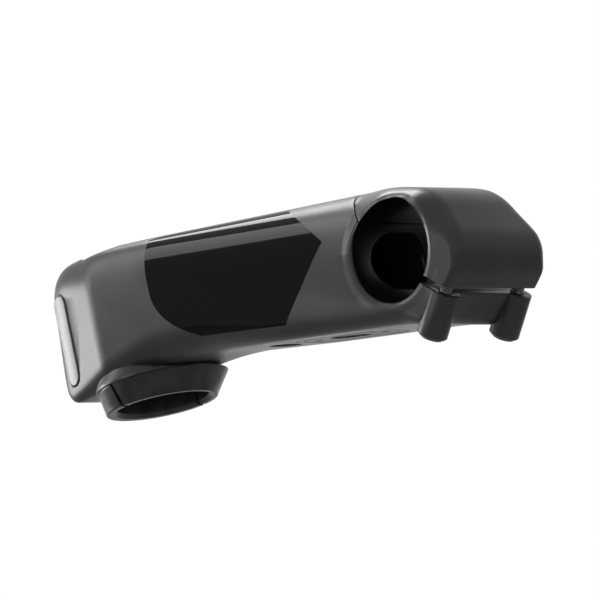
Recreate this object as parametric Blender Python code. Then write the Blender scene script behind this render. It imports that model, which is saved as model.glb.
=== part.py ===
"""Handlebar stem: hollow body, hooked bar cap, pinch hardware, covers and a split collar.

Frame: the origin is on the steerer axis at the underside of the collar, +Z runs up the
steerer, +X runs forward to the handlebar and the pinch slit faces -X. Units are metres.
"""
import math

import bmesh
import bpy
from mathutils import Matrix, Vector

# ---- driving dimensions -------------------------------------------------------------
STEERER_DIA = 0.0286
BAR_DIA = 0.0318
STEM_LENGTH = 0.130
STEM_ANGLE = math.radians(-7.5)
GAP = 0.0003                    # clearance between pieces that touch
BODY_WIDTH = 0.040
CLAMP_RISE = 0.0206             # axis of the extension over the foot of the body
BODY_HEIGHT = 0.0438            # steerer clamp, from neck to crown
COLLAR_HEIGHT = 0.0070
COLLAR_BOTTOM_RADIUS = 0.0181
COLLAR_TOP_RADIUS = 0.0210
COLLAR_LEAD = 0.0018            # the collar's top sits this far forward
COLLAR_TRAIL = -0.0007          # and its foot this far back
COLLAR_SPLIT = 0.0014
COLLAR_CHAMFER = 0.0012
NECK_HEIGHT = 0.0007            # round neck between the collar and the box of the body
NECK_RADIUS = 0.0203
TOP_FALL = math.radians(-8.5)   # slope of the crown line
TAIL_LENGTH = 0.0304            # steerer axis to rear face
TAIL_HALF_WIDTH = 0.0125
TAIL_START = -0.0030            # where the flanks begin to taper
REAR_DEPTH = 0.0169             # underside below the axis of the extension, at the neck
FRONT_DEPTH = 0.0225            # the same under the bar
CAP_WALL = 0.0043               # cap thickness over the bar
CAP_REACH = 0.0262              # bar centre to the cap's nose
SPLIT_LEVEL = -0.0012           # cap's lower face, from the bar centre along the bolts
SPLIT_GAP = 0.0028              # open gap between cap and jaw at the bolts
BOLT_TILT = math.radians(40)    # cap bolts lean forward of the steerer
BOLT_REACH = 0.0229             # bar centre to the plane of the cap bolts
BOLT_SPACING = 0.0310
BOSS_RADIUS = 0.0047
BOSS_LENGTH = 0.0144
HEAD_PROUD = 0.0006              # cap bolt heads stand this far out of their bosses
CAP_BOLT_RADIUS = 0.0020
CAP_HEAD_RADIUS = 0.0035
CAP_HEAD_HEIGHT = 0.0040
CAP_THREAD_DEPTH = 0.0105
WASHER_THICKNESS = 0.0007
PINCH_BOLT_RADIUS = 0.0020
PINCH_HEAD_RADIUS = 0.0034
PINCH_HEAD_HEIGHT = 0.0040
PINCH_SPACING = 0.0180
PINCH_RISE = 0.0200             # middle of the pinch bolts over the foot of the body
PINCH_REAR = 0.0223             # steerer axis to the pinch bolts
EAR_THICKNESS = 0.0040
SLIT_WIDTH = 0.0020
COVER_WIDTH = 0.0076
COVER_HEIGHT = 0.0300
COVER_THICKNESS = 0.0028
COVER_PROUD = 0.0004             # the covers stand this far out of the flanks
TUNNEL_WIDTH = 0.0240
TUNNEL_HEIGHT = 0.0180
TUNNEL_DROP = 0.0010            # tunnel centre under the axis of the extension
PLATE_LENGTH = 0.0420
PLATE_WIDTH = 0.0170
PLATE_THICKNESS = 0.0022
PLATE_SCREW_SPACING = 0.0290
PLATE_CENTRE = 0.0905           # along the extension
HATCH_LENGTH = 0.0150           # way into the tunnel behind the plate
HATCH_WIDTH = 0.0100
SCREW_RADIUS = 0.0015
SCREW_HEAD_RADIUS = 0.0042
SCREW_HEAD_HEIGHT = 0.0012
SCREW_LENGTH = 0.0060
PORT_CENTRE = 0.0610
PORT_RADIUS = 0.0045
PORT_PLUG_HEIGHT = 0.0040
PORT_RECESS = 0.0012
SEAT_RADIUS = 0.0166            # flat seat for the top cap
SEAT_DROP = 0.0016
ROUND_TOP = 0.0080              # edge rounding of the crown over the steerer
ROUND_SEAM = 0.0150             # edge rounding of the crown at the cap
ROUND_BROW = 0.0050             # edge rounding down the front of the cap
ROUND_CORNER = 0.0064           # edge rounding over the tail's top corner
ROUND_SIDE = 0.0055             # edge rounding along the underside
ROUND_REAR = 0.0030             # edge rounding round the tail
ROUND_NECK = 0.0110             # edge rounding where the underside meets the neck
ROUND_JAW = 0.0022              # edge rounding of the jaw and the cap's nose

# ---- places worked out from them ----------------------------------------------------
NECK_BASE = COLLAR_HEIGHT + GAP
BODY_BASE = NECK_BASE + NECK_HEIGHT
CROWN = BODY_BASE + BODY_HEIGHT
CLAMP_MID = BODY_BASE + CLAMP_RISE
BAR_X = STEM_LENGTH * math.cos(STEM_ANGLE)
BAR_Z = CLAMP_MID + STEM_LENGTH * math.sin(STEM_ANGLE)
BAR_RADIUS = BAR_DIA / 2
BORE_RADIUS = STEERER_DIA / 2 + 0.0001
HALF_WIDTH = BODY_WIDTH / 2
BOLT_AXIS = Vector((math.sin(BOLT_TILT), 0, math.cos(BOLT_TILT)))
JAW_AXIS = Vector((math.cos(BOLT_TILT), 0, -math.sin(BOLT_TILT)))
BAR_CENTRE = Vector((BAR_X, 0, BAR_Z))
ALONG = Vector((math.cos(STEM_ANGLE), 0, math.sin(STEM_ANGLE)))
UP = Vector((-math.sin(STEM_ANGLE), 0, math.cos(STEM_ANGLE)))
TAPER = (HALF_WIDTH - TAIL_HALF_WIDTH) / (TAIL_LENGTH + TAIL_START)
FLANK = math.atan(TAPER)
PINCH_MID = BODY_BASE + PINCH_RISE
JAW_TOP = SPLIT_LEVEL - SPLIT_GAP
BOSS_FOOT = JAW_TOP - BOSS_LENGTH
HEAD_SEAT = BOSS_FOOT - HEAD_PROUD + CAP_HEAD_HEIGHT
CHORD = 0.004                   # longest chord on a rounded corner
BOSS_FACETS = 30
EDGE_STEPS = 3                  # facets across a rounded edge


def jaw_point(reach, rise, side=0.0):
    """Point in the clamp's own frame: reach along the split, rise along the bolts."""
    return BAR_CENTRE + JAW_AXIS * reach + BOLT_AXIS * rise + Vector((0, side, 0))


def stem_point(distance, height, side=0.0):
    """Point along the axis of the extension, measured from the steerer axis."""
    return Vector((0, side, CLAMP_MID)) + ALONG * distance + UP * height


def underside(distance):
    """Depth of the underside below the axis of the extension."""
    share = distance / STEM_LENGTH
    return REAR_DEPTH + (FRONT_DEPTH - REAR_DEPTH) * max(0.0, share - 0.3) / 0.7


# ---- materials ----------------------------------------------------------------------
def finish(name, colour, roughness, metallic):
    material = bpy.data.materials.new(name)
    material.use_nodes = True
    shader = material.node_tree.nodes["Principled BSDF"]
    shader.inputs["Base Color"].default_value = (*colour, 1.0)
    shader.inputs["Roughness"].default_value = roughness
    shader.inputs["Metallic"].default_value = metallic
    return material


# ---- shapes -------------------------------------------------------------------------
def put(name, mesh, material=None, smooth=True):
    """Link a mesh as a named object."""
    thing = bpy.data.objects.new(name, mesh)
    bpy.context.collection.objects.link(thing)
    if material is not None:
        mesh.materials.append(material)
    if smooth:
        mesh.shade_smooth()
        mesh.set_sharp_from_angle(angle=math.radians(35))
    return thing


def mesh_of(name, bm):
    """Turn a bmesh into a mesh with its faces outward."""
    bmesh.ops.recalc_face_normals(bm, faces=bm.faces[:])
    mesh = bpy.data.meshes.new(name)
    bm.to_mesh(mesh)
    bm.free()
    return mesh


def basis(origin, axis, side=Vector((0, 1, 0))):
    """Matrix whose Z runs along axis and whose X is square to it and to side."""
    z = Vector(axis).normalized()
    x = Vector(side).cross(z).normalized()
    y = z.cross(x)
    matrix = Matrix((x, y, z)).transposed().to_4x4()
    matrix.translation = Vector(origin)
    return matrix


def turned(name, outline, segments, material=None):
    """Solid turned about Z from (radius, height) pairs that start and end on the axis."""
    bm = bmesh.new()
    rim = [bm.verts.new((radius, 0, height)) for radius, height in outline]
    edges = [bm.edges.new(pair) for pair in zip(rim, rim[1:])]
    bmesh.ops.spin(bm, geom=rim + edges, cent=(0, 0, 0), axis=(0, 0, 1),
                   angle=math.tau, steps=segments, use_merge=True)
    bmesh.ops.remove_doubles(bm, verts=bm.verts[:], dist=1e-6)
    return put(name, mesh_of(name, bm), material)


def rod(name, radius, start, end, segments=32):
    """Plain cylinder between two points, for cutting and joining."""
    start, end = Vector(start), Vector(end)
    length = (end - start).length
    side = Vector((0, 1, 0))
    if abs((end - start).normalized().dot(side)) > 0.9:
        side = Vector((1, 0, 0))
    outline = [(0, 0), (radius, 0), (radius, length), (0, length)]
    tool = turned(name, outline, segments)
    tool.data.transform(basis(start, end - start, side))
    return tool


def block(name, size, matrix):
    """Box of the given size centred on a matrix."""
    bm = bmesh.new()
    bmesh.ops.create_cube(bm, size=1.0)
    bmesh.ops.scale(bm, vec=Vector(size), verts=bm.verts[:])
    bmesh.ops.transform(bm, matrix=matrix, verts=bm.verts[:])
    return put(name, mesh_of(name, bm), smooth=False)


def oblong(name, length, width, height, matrix, material=None, steps=8, edge=0.0):
    """Round-ended plate: length on X, width on Y, height up from the matrix along Z."""
    bm = bmesh.new()
    radius = width / 2
    reach = length / 2 - radius
    rim = []
    for centre, start in ((reach, -math.pi / 2), (-reach, math.pi / 2)):
        for step in range(steps + 1):
            angle = start + math.pi * step / steps
            rim.append(bm.verts.new((centre + radius * math.cos(angle), radius * math.sin(angle), 0)))
    face = bm.faces.new(rim)
    raised = bmesh.ops.extrude_face_region(bm, geom=[face])
    lifted = [item for item in raised["geom"] if isinstance(item, bmesh.types.BMVert)]
    bmesh.ops.translate(bm, vec=(0, 0, height), verts=lifted)
    if edge > 0:
        top = [item for item in bm.edges if all(vert in lifted for vert in item.verts)]
        bmesh.ops.bevel(bm, geom=top, offset=edge, segments=2, profile=0.5, affect="EDGES")
    bmesh.ops.transform(bm, matrix=matrix, verts=bm.verts[:])
    return put(name, mesh_of(name, bm), material)


def prism(name, corners, half_width):
    """Outline in the XZ plane, extruded to both sides."""
    bm = bmesh.new()
    face = bm.faces.new([bm.verts.new((corner[0], -half_width, corner[-1])) for corner in corners])
    raised = bmesh.ops.extrude_face_region(bm, geom=[face])
    lifted = [item for item in raised["geom"] if isinstance(item, bmesh.types.BMVert)]
    bmesh.ops.translate(bm, vec=(0, 2 * half_width, 0), verts=lifted)
    return put(name, mesh_of(name, bm), smooth=False)


def combine(target, tool, operation="DIFFERENCE"):
    """Boolean with an exact solver; the tool stays as a hidden guide."""
    step = target.modifiers.new(tool.name, "BOOLEAN")
    step.object = tool
    step.operation = operation
    step.solver = "EXACT"
    tool.hide_render = True
    tool.display_type = "WIRE"


def fillet(corners, chord):
    """Round each (x, z, radius, edge) corner; gives (x, z, edge) points along the outline."""
    points = []
    count = len(corners)
    for index, (x, z, radius, edge) in enumerate(corners):
        here = Vector((x, z))
        before = Vector(corners[index - 1][:2]) - here
        after = Vector(corners[(index + 1) % count][:2]) - here
        half = before.angle(after) / 2
        if radius <= 0 or math.pi - 2 * half < math.radians(12):
            points.append((x, z, edge))
            continue
        reach = min(radius / math.tan(half), before.length * 0.48, after.length * 0.48)
        first = here + before.normalized() * reach
        last = here + after.normalized() * reach
        turn = math.pi - 2 * half
        steps = max(2, round(reach * math.tan(half) * turn / chord))
        for step in range(steps + 1):
            share = step / steps
            blend = (first * (1 - share) ** 2 + here * 2 * share * (1 - share) + last * share ** 2)
            points.append((blend.x, blend.y, edge))
    return points


# ---- outline of body and cap together -----------------------------------------------
def shell_corners():
    """Side outline, clockwise from the foot of the tail: x, z, fillet and edge rounding."""
    slope = math.tan(TOP_FALL)
    bend = 0.0
    knee = 0.016
    cap_top = BAR_Z + BAR_RADIUS + CAP_WALL
    shoulder = jaw_point(CAP_REACH * 0.18, 0.0222)
    brow = jaw_point(CAP_REACH - 0.0011, 0.0144)
    nose = jaw_point(CAP_REACH + 0.0018, 0.0054)
    chin = jaw_point(CAP_REACH + 0.0004, SPLIT_LEVEL)
    lip = jaw_point(BOLT_REACH + 0.0012, JAW_TOP)
    foot = jaw_point(BOLT_REACH - 0.0008, JAW_TOP - 0.0111)
    heel = stem_point(STEM_LENGTH * 0.99, -FRONT_DEPTH)
    belly = stem_point(STEM_LENGTH * 0.62, -underside(STEM_LENGTH * 0.62))
    waist = stem_point(STEM_LENGTH * 0.30, -REAR_DEPTH)
    neck_x = COLLAR_TOP_RADIUS + COLLAR_LEAD
    crown_end = BAR_X - BAR_RADIUS
    return [
        (-TAIL_LENGTH, BODY_BASE, 0.0075, ROUND_REAR),
        (-TAIL_LENGTH, CROWN, 0.0220, ROUND_CORNER),
        (bend, CROWN, 0.0, ROUND_TOP),
        (knee, CROWN + slope * (knee - bend), 0.0, ROUND_TOP),
        (crown_end, CROWN + slope * (crown_end - bend), 0.0, ROUND_SEAM),
        (BAR_X, cap_top, 0.0300, ROUND_SEAM * 0.7),
        (shoulder.x, shoulder.z, 0.0200, ROUND_TOP),
        (brow.x, brow.z, 0.0140, ROUND_BROW),
        (nose.x, nose.z, 0.0060, ROUND_JAW),
        (chin.x, chin.z, 0.0, ROUND_JAW),
        (lip.x, lip.z, 0.0, ROUND_JAW),
        (foot.x, foot.z, 0.0030, ROUND_JAW),
        (heel.x, heel.z, 0.0100, ROUND_SIDE),
        (belly.x, belly.z, 0.0500, ROUND_SIDE),
        (waist.x, waist.z, 0.0300, ROUND_NECK),
        (neck_x, BODY_BASE, 0.0040, ROUND_NECK),
    ]


def inward(outline, index):
    """Mitred inward direction at a corner of the outline."""
    here = Vector(outline[index][:2])
    before = (here - Vector(outline[index - 1][:2])).normalized()
    after = (Vector(outline[(index + 1) % len(outline)][:2]) - here).normalized()
    first = Vector((before.y, -before.x))
    last = Vector((after.y, -after.x))
    return (first + last) / (1 + first.dot(last))


def shell(name, material):
    """Body and cap as one closed form with rounded edges and a tapered tail."""
    outline = fillet(shell_corners(), CHORD)
    count = len(outline)
    bm = bmesh.new()
    rings = []
    for side in (-1, 1):
        layers = []
        for step in range(EDGE_STEPS + 1):
            angle = math.pi / 2 * step / EDGE_STEPS
            ring = []
            for index, (x, z, edge) in enumerate(outline):
                point = Vector((x, z)) + inward(outline, index) * edge * (1 - math.cos(angle))
                width = HALF_WIDTH - edge * (1 - math.sin(angle))
                ring.append(bm.verts.new((point.x, side * width, point.y)))
            layers.append(ring)
        rings += layers[::-1] if side < 0 else layers
    for low, high in zip(rings, rings[1:]):
        for index in range(count):
            after = (index + 1) % count
            bm.faces.new((low[index], low[after], high[after], high[index]))
    bm.faces.new(rings[0])
    bm.faces.new(rings[-1][::-1])
    taper_tail(bm)
    return put(name, mesh_of(name, bm), material)


def taper_tail(bm):
    """Draw the flanks in towards the rear face."""
    everything = bm.verts[:] + bm.edges[:] + bm.faces[:]
    bmesh.ops.bisect_plane(bm, geom=everything, plane_co=(TAIL_START, 0, 0),
                           plane_no=(1, 0, 0), dist=1e-6)
    for vert in bm.verts:
        behind = TAIL_START - vert.co.x
        if behind > 0:
            vert.co.y *= 1 - behind * TAPER / HALF_WIDTH


def cap_zone(name, seam_gap, split_gap):
    """Solid that holds the cap's share of the shell, grown by the two clearances."""
    seam = jaw_point(-BAR_RADIUS * 0.5, 0.0002 - seam_gap)
    seam_end = jaw_point(-0.0420, 0.0098 - seam_gap)
    low = SPLIT_LEVEL - split_gap
    corners = [jaw_point(0.060, low), jaw_point(0.0, low), seam, seam_end,
               jaw_point(-0.0420, 0.060), jaw_point(0.060, 0.060)]
    return prism(name, corners, HALF_WIDTH + 0.010)


# ---- body ---------------------------------------------------------------------------
def cap_bolt_sides():
    return (("left", BOLT_SPACING / 2), ("right", -BOLT_SPACING / 2))


def flank_matrix(side):
    """Frame on a tail facet: X up, Z out of the facet."""
    out = Vector((-math.sin(FLANK), side * math.cos(FLANK), 0))
    width = HALF_WIDTH - (PINCH_REAR + TAIL_START) * TAPER
    centre = Vector((-PINCH_REAR, side * width, PINCH_MID))
    across = out.cross(Vector((0, 0, 1)))
    matrix = Matrix((Vector((0, 0, 1)), across, out)).transposed().to_4x4()
    matrix.translation = centre
    return matrix


def plate_matrix(height=0.0):
    """Frame on the underside at the channel cover: X along, Z down and out."""
    start = PLATE_CENTRE - PLATE_LENGTH / 2
    end = PLATE_CENTRE + PLATE_LENGTH / 2
    a = stem_point(start, -underside(start))
    b = stem_point(end, -underside(end))
    along = (b - a).normalized()
    out = Vector((0, 1, 0)).cross(along)
    if out.z > 0:
        out = -out
    matrix = Matrix((along, out.cross(along), out)).transposed().to_4x4()
    matrix.translation = (a + b) / 2 + out * height
    return matrix


def cut_clamp(body):
    """Bar bore, bosses with their bolt holes, and the split for the cap."""
    for label, side in cap_bolt_sides():
        boss = rod("boss_" + label, BOSS_RADIUS, jaw_point(BOLT_REACH, BOSS_FOOT, side),
                   jaw_point(BOLT_REACH, JAW_TOP + 0.0015, side), BOSS_FACETS)
        combine(body, boss, "UNION")
    combine(body, cap_zone("cap_space", GAP, SPLIT_GAP), "DIFFERENCE")
    for label, side in cap_bolt_sides():
        sunk = HEAD_SEAT + WASHER_THICKNESS + 2 * GAP
        wide = CAP_HEAD_RADIUS + GAP
        narrow = CAP_BOLT_RADIUS + GAP
        hole = turned("bolt_hole_" + label, [(0, BOSS_FOOT - 0.002), (wide, BOSS_FOOT - 0.002),
                                             (wide, sunk), (narrow, sunk), (narrow, JAW_TOP + 0.002),
                                             (0, JAW_TOP + 0.002)], 24)
        hole.data.transform(basis(jaw_point(BOLT_REACH, 0, side), BOLT_AXIS))
        combine(body, hole)


def cut_steerer_clamp(body):
    """Steerer bore, pinch slit, top seat and the holes of the pinch bolts."""
    seat = CROWN - SEAT_DROP
    bore = turned("steerer_bore", [(0, -0.02), (BORE_RADIUS, -0.02), (BORE_RADIUS, seat),
                                   (SEAT_RADIUS, seat), (SEAT_RADIUS, seat + 0.02), (0, seat + 0.02)], 48)
    combine(body, bore)
    middle = -(TAIL_LENGTH + BORE_RADIUS) / 2 - 0.002
    slit = block("pinch_slit", (TAIL_LENGTH - BORE_RADIUS + 0.008, SLIT_WIDTH, 0.09),
                 Matrix.Translation((middle, 0, PINCH_MID)))
    combine(body, slit)
    for side, name in ((1, "left"), (-1, "right")):
        floor = COVER_PROUD - COVER_THICKNESS - GAP
        seat = oblong("cover_seat_" + name, COVER_HEIGHT + 2 * GAP, COVER_WIDTH + 2 * GAP,
                      0.012, flank_matrix(side) @ Matrix.Translation((0, 0, floor)))
        combine(body, seat)
    for rise, name in ((PINCH_SPACING / 2, "upper"), (-PINCH_SPACING / 2, "lower")):
        z = PINCH_MID + rise
        floor = SLIT_WIDTH / 2 + EAR_THICKNESS
        wide = PINCH_HEAD_RADIUS + GAP
        narrow = PINCH_BOLT_RADIUS + GAP
        hole = turned("pinch_hole_" + name, [(0, -0.014), (wide, -0.014), (wide, -floor),
                                             (narrow, -floor), (narrow, floor), (wide, floor),
                                             (wide, 0.014), (0, 0.014)], 24)
        hole.data.transform(basis((-PINCH_REAR, 0, z), (0, 1, 0), Vector((1, 0, 0))))
        combine(body, hole)


def cut_channel(body):
    """Hose tunnel from bar to steerer, its hatch and plate seat, and the port."""
    middle = stem_point(STEM_LENGTH / 2, -TUNNEL_DROP)
    frame = Matrix((ALONG, Vector((0, 1, 0)), UP)).transposed().to_4x4()
    frame.translation = middle
    tunnel = oblong("hose_tunnel", TUNNEL_WIDTH, TUNNEL_HEIGHT, STEM_LENGTH,
                    Matrix.Translation(middle - ALONG * STEM_LENGTH / 2) @ frame.to_3x3().to_4x4()
                    @ Matrix(((0, 0, 1, 0), (1, 0, 0, 0), (0, 1, 0, 0), (0, 0, 0, 1))))
    combine(body, tunnel)
    seat = oblong("plate_seat", PLATE_LENGTH + 2 * GAP, PLATE_WIDTH + 2 * GAP, 0.010,
                  plate_matrix(-PLATE_THICKNESS - GAP))
    combine(body, seat)
    hatch = oblong("plate_hatch", HATCH_LENGTH, HATCH_WIDTH, 0.020, plate_matrix(-0.018), steps=6)
    combine(body, hatch)
    for label, place in plate_screws():
        at = plate_matrix() @ Matrix.Translation((place, 0, 0))
        depth = SCREW_LENGTH + 0.001
        hole = rod("screw_hole_" + label, SCREW_RADIUS + GAP, at @ Vector((0, 0, -depth)),
                   at @ Vector((0, 0, 0.002)), 16)
        combine(body, hole)
    port = rod("port_hole", PORT_RADIUS + GAP, port_point(-0.020), port_point(0.006), 24)
    combine(body, port)


def plate_screws():
    return (("rear", -PLATE_SCREW_SPACING / 2), ("front", PLATE_SCREW_SPACING / 2))


def port_point(out):
    """Point on the port's axis, measured out of the underside."""
    return stem_point(PORT_CENTRE, -underside(PORT_CENTRE) - out)


def make_body(material):
    body = shell("stem_body", material)
    combine(body, rod("neck", NECK_RADIUS, (0, 0, NECK_BASE), (0, 0, BODY_BASE + 0.010), 48), "UNION")
    bore = rod("bar_bore", BAR_RADIUS, (BAR_X, -0.04, BAR_Z), (BAR_X, 0.04, BAR_Z), 64)
    cut_clamp(body)
    cut_channel(body)
    cut_steerer_clamp(body)
    combine(body, bore)
    return body


def make_cap(material):
    """Upper half of the bar clamp, threaded for the two bolts."""
    cap = shell("bar_cap", material)
    combine(cap, cap_zone("cap_share", 0.0, 0.0), "INTERSECT")
    for label, side in cap_bolt_sides():
        hole = rod("cap_thread_" + label, CAP_BOLT_RADIUS + GAP,
                   jaw_point(BOLT_REACH, -0.004, side),
                   jaw_point(BOLT_REACH, CAP_THREAD_DEPTH + GAP, side), 24)
        combine(cap, hole)
    bore = rod("cap_bore", BAR_RADIUS, (BAR_X, -0.04, BAR_Z), (BAR_X, 0.04, BAR_Z), 64)
    combine(cap, bore)
    return cap


# ---- fasteners and small pieces -----------------------------------------------------
def socket_bolt(name, head_radius, head_height, shank_radius, length, key, place, material):
    """Socket-head bolt: the shank runs up Z from the underside of the head at zero."""
    bevel = 0.0003
    outline = [(0, -head_height), (head_radius - bevel, -head_height),
               (head_radius, -head_height + bevel), (head_radius, 0), (shank_radius, 0),
               (shank_radius, length - bevel), (shank_radius - bevel, length), (0, length)]
    bolt = turned(name, outline, 24, material)
    bolt.matrix_world = place
    socket = rod(name + "_socket", key / math.sqrt(3), (0, 0, -head_height - 0.001),
                 (0, 0, -head_height * 0.45), 6)
    socket.matrix_world = place
    combine(bolt, socket)
    return bolt


def washer(name, inner, outer, thickness, place, material, segments=24):
    """Flat ring on Z from zero up."""
    bm = bmesh.new()
    corners = ((inner, 0), (outer, 0), (outer, thickness), (inner, thickness))
    rim = [bm.verts.new((radius, 0, height)) for radius, height in corners]
    edges = [bm.edges.new((rim[index - 1], rim[index])) for index in range(len(rim))]
    bmesh.ops.spin(bm, geom=rim + edges, cent=(0, 0, 0), axis=(0, 0, 1),
                   angle=math.tau, steps=segments, use_merge=True)
    bmesh.ops.remove_doubles(bm, verts=bm.verts[:], dist=1e-6)
    ring = put(name, mesh_of(name, bm), material)
    ring.matrix_world = place
    return ring


def make_cap_bolts(steel):
    for label, side in cap_bolt_sides():
        place = basis(jaw_point(BOLT_REACH, HEAD_SEAT, side), BOLT_AXIS)
        socket_bolt("cap_bolt_" + label, CAP_HEAD_RADIUS, CAP_HEAD_HEIGHT, CAP_BOLT_RADIUS,
                    CAP_THREAD_DEPTH - HEAD_SEAT, 0.0030, place, steel)
        place = basis(jaw_point(BOLT_REACH, HEAD_SEAT + GAP, side), BOLT_AXIS)
        washer("cap_washer_" + label, CAP_BOLT_RADIUS + GAP, CAP_HEAD_RADIUS,
               WASHER_THICKNESS, place, steel)


def make_pinch_hardware(steel):
    floor = SLIT_WIDTH / 2 + EAR_THICKNESS
    for rise, side, name in ((PINCH_SPACING / 2, -1, "upper"), (-PINCH_SPACING / 2, 1, "lower")):
        z = PINCH_MID + rise
        inward = Vector((0, -side, 0))
        washer_at = Vector((-PINCH_REAR, side * (floor + GAP + WASHER_THICKNESS), z))
        ring = basis(washer_at, inward, Vector((1, 0, 0)))
        washer("pinch_washer_" + name, PINCH_BOLT_RADIUS + GAP, PINCH_HEAD_RADIUS,
               WASHER_THICKNESS, ring, steel)
        head_at = washer_at + Vector((0, side * GAP, 0))
        length = 2 * floor + 0.0050
        socket_bolt("pinch_bolt_" + name, PINCH_HEAD_RADIUS, PINCH_HEAD_HEIGHT, PINCH_BOLT_RADIUS,
                    length, 0.0030, basis(head_at, inward, Vector((1, 0, 0))), steel)
        nut_at = Vector((-PINCH_REAR, -side * (floor + GAP), z))
        washer("pinch_nut_" + name, PINCH_BOLT_RADIUS + GAP, PINCH_HEAD_RADIUS,
               PINCH_HEAD_HEIGHT, basis(nut_at, inward, Vector((1, 0, 0))), steel)


def make_covers(rubber):
    for side, name in ((1, "left"), (-1, "right")):
        oblong("bolt_cover_" + name, COVER_HEIGHT, COVER_WIDTH, COVER_THICKNESS,
               flank_matrix(side) @ Matrix.Translation((0, 0, COVER_PROUD - COVER_THICKNESS)),
               rubber, edge=0.0004)


def make_channel_cover(alloy, steel):
    plate = oblong("channel_cover", PLATE_LENGTH, PLATE_WIDTH, PLATE_THICKNESS,
                   plate_matrix(-PLATE_THICKNESS), alloy)
    for label, shift in plate_screws():
        at = plate_matrix() @ Matrix.Translation((shift, 0, 0))
        wide = SCREW_HEAD_RADIUS + GAP
        narrow = SCREW_RADIUS + GAP
        sunk = -SCREW_HEAD_HEIGHT - GAP
        hole = turned("cover_hole_" + label, [(0, -0.004), (narrow, -0.004), (narrow, sunk),
                                              (wide, sunk), (wide, 0.003), (0, 0.003)], 24)
        hole.data.transform(at)
        combine(plate, hole)
        down = (at @ Vector((0, 0, 1))) - (at @ Vector((0, 0, 0)))
        place = basis(at @ Vector((0, 0, -SCREW_HEAD_HEIGHT)), -down)
        socket_bolt("cover_screw_" + label, SCREW_HEAD_RADIUS, SCREW_HEAD_HEIGHT, SCREW_RADIUS,
                    SCREW_LENGTH - SCREW_HEAD_HEIGHT, 0.0025, place, steel)


def make_port_plug(rubber):
    top = port_point(-PORT_RECESS - PORT_PLUG_HEIGHT)
    plug = turned("port_plug", [(0, 0), (PORT_RADIUS, 0), (PORT_RADIUS, PORT_PLUG_HEIGHT - 0.0005),
                                (PORT_RADIUS - 0.0005, PORT_PLUG_HEIGHT), (0, PORT_PLUG_HEIGHT)],
                  24, rubber)
    plug.matrix_world = basis(top, -UP)


def make_collar(plastic):
    """Two half rings; the outside leans from the round foot to the wider, forward top."""
    for front, name in ((True, "collar_front"), (False, "collar_rear")):
        bm = bmesh.new()
        levels = ((0.0, COLLAR_BOTTOM_RADIUS - 0.0005, COLLAR_TRAIL),
                  (0.0005, COLLAR_BOTTOM_RADIUS, COLLAR_TRAIL),
                  (COLLAR_HEIGHT, COLLAR_TOP_RADIUS, COLLAR_LEAD))
        loops = []
        for height, radius, lead in levels:
            made = bmesh.ops.create_circle(bm, radius=radius, segments=64,
                                           matrix=Matrix.Translation((lead, 0, height)))
            loops.append(made["verts"])
        for low, high in zip(loops, loops[1:]):
            rings = set(low + high)
            edges = [edge for edge in bm.edges if edge.verts[0] in rings and edge.verts[1] in rings
                     and (edge.verts[0] in low) == (edge.verts[1] in low)]
            bmesh.ops.bridge_loops(bm, edges=edges)
        bmesh.ops.holes_fill(bm, edges=[edge for edge in bm.edges if edge.is_boundary])
        half = put(name, mesh_of(name, bm), plastic)
        hollow = turned(name + "_bore", [(0, -0.01), (BORE_RADIUS + COLLAR_CHAMFER + 0.01, -0.01),
                                         (BORE_RADIUS + GAP, COLLAR_CHAMFER), (BORE_RADIUS + GAP, 0.02),
                                         (0, 0.02)], 48)
        combine(half, hollow)
        sign = 1 if front else -1
        shift = -sign * (0.03 - COLLAR_SPLIT / 2)
        away = block(name + "_away", (0.06, 0.08, 0.04), Matrix.Translation((shift, 0, 0)))
        combine(half, away)


def build():
    for thing in list(bpy.data.objects):
        bpy.data.objects.remove(thing, do_unlink=True)
    paint = finish("satin black alloy", (0.035, 0.036, 0.038), 0.42, 0.35)
    cap_paint = finish("satin black cap", (0.035, 0.036, 0.038), 0.45, 0.35)
    steel = finish("black steel", (0.10, 0.10, 0.105), 0.35, 0.9)
    rubber = finish("black rubber", (0.02, 0.02, 0.02), 0.7, 0.0)
    plastic = finish("black plastic", (0.018, 0.018, 0.019), 0.45, 0.0)
    make_body(paint)
    make_cap(cap_paint)
    make_cap_bolts(steel)
    make_pinch_hardware(steel)
    make_covers(rubber)
    make_channel_cover(paint, steel)
    make_port_plug(rubber)
    make_collar(plastic)


build()
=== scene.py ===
"""Looks of the handlebar stem: fine shells, hardware, finishes, studio and camera."""

import logging
import math
from dataclasses import dataclass, field
from enum import Enum
from typing import Callable, Iterable, Sequence

import bmesh
import bpy
from mathutils import Matrix, Vector

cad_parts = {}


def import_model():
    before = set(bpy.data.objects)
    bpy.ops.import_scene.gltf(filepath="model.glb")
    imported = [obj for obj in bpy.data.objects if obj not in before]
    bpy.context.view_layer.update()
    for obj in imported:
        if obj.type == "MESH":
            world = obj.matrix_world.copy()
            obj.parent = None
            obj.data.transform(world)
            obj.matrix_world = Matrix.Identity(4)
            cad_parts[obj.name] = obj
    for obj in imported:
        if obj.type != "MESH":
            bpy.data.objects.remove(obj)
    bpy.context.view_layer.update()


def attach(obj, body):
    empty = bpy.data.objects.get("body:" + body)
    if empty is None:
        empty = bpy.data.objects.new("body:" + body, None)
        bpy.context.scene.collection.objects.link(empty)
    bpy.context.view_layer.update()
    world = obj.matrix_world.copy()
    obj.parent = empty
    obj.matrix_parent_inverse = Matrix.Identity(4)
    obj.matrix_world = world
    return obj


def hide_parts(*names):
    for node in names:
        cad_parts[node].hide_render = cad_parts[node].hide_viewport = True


LOG = logging.getLogger("stem")
Pair = tuple[float, float]
Triple = tuple[float, float, float]
Material = bpy.types.Material
Thing = bpy.types.Object
Mesh = bmesh.types.BMesh


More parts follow.
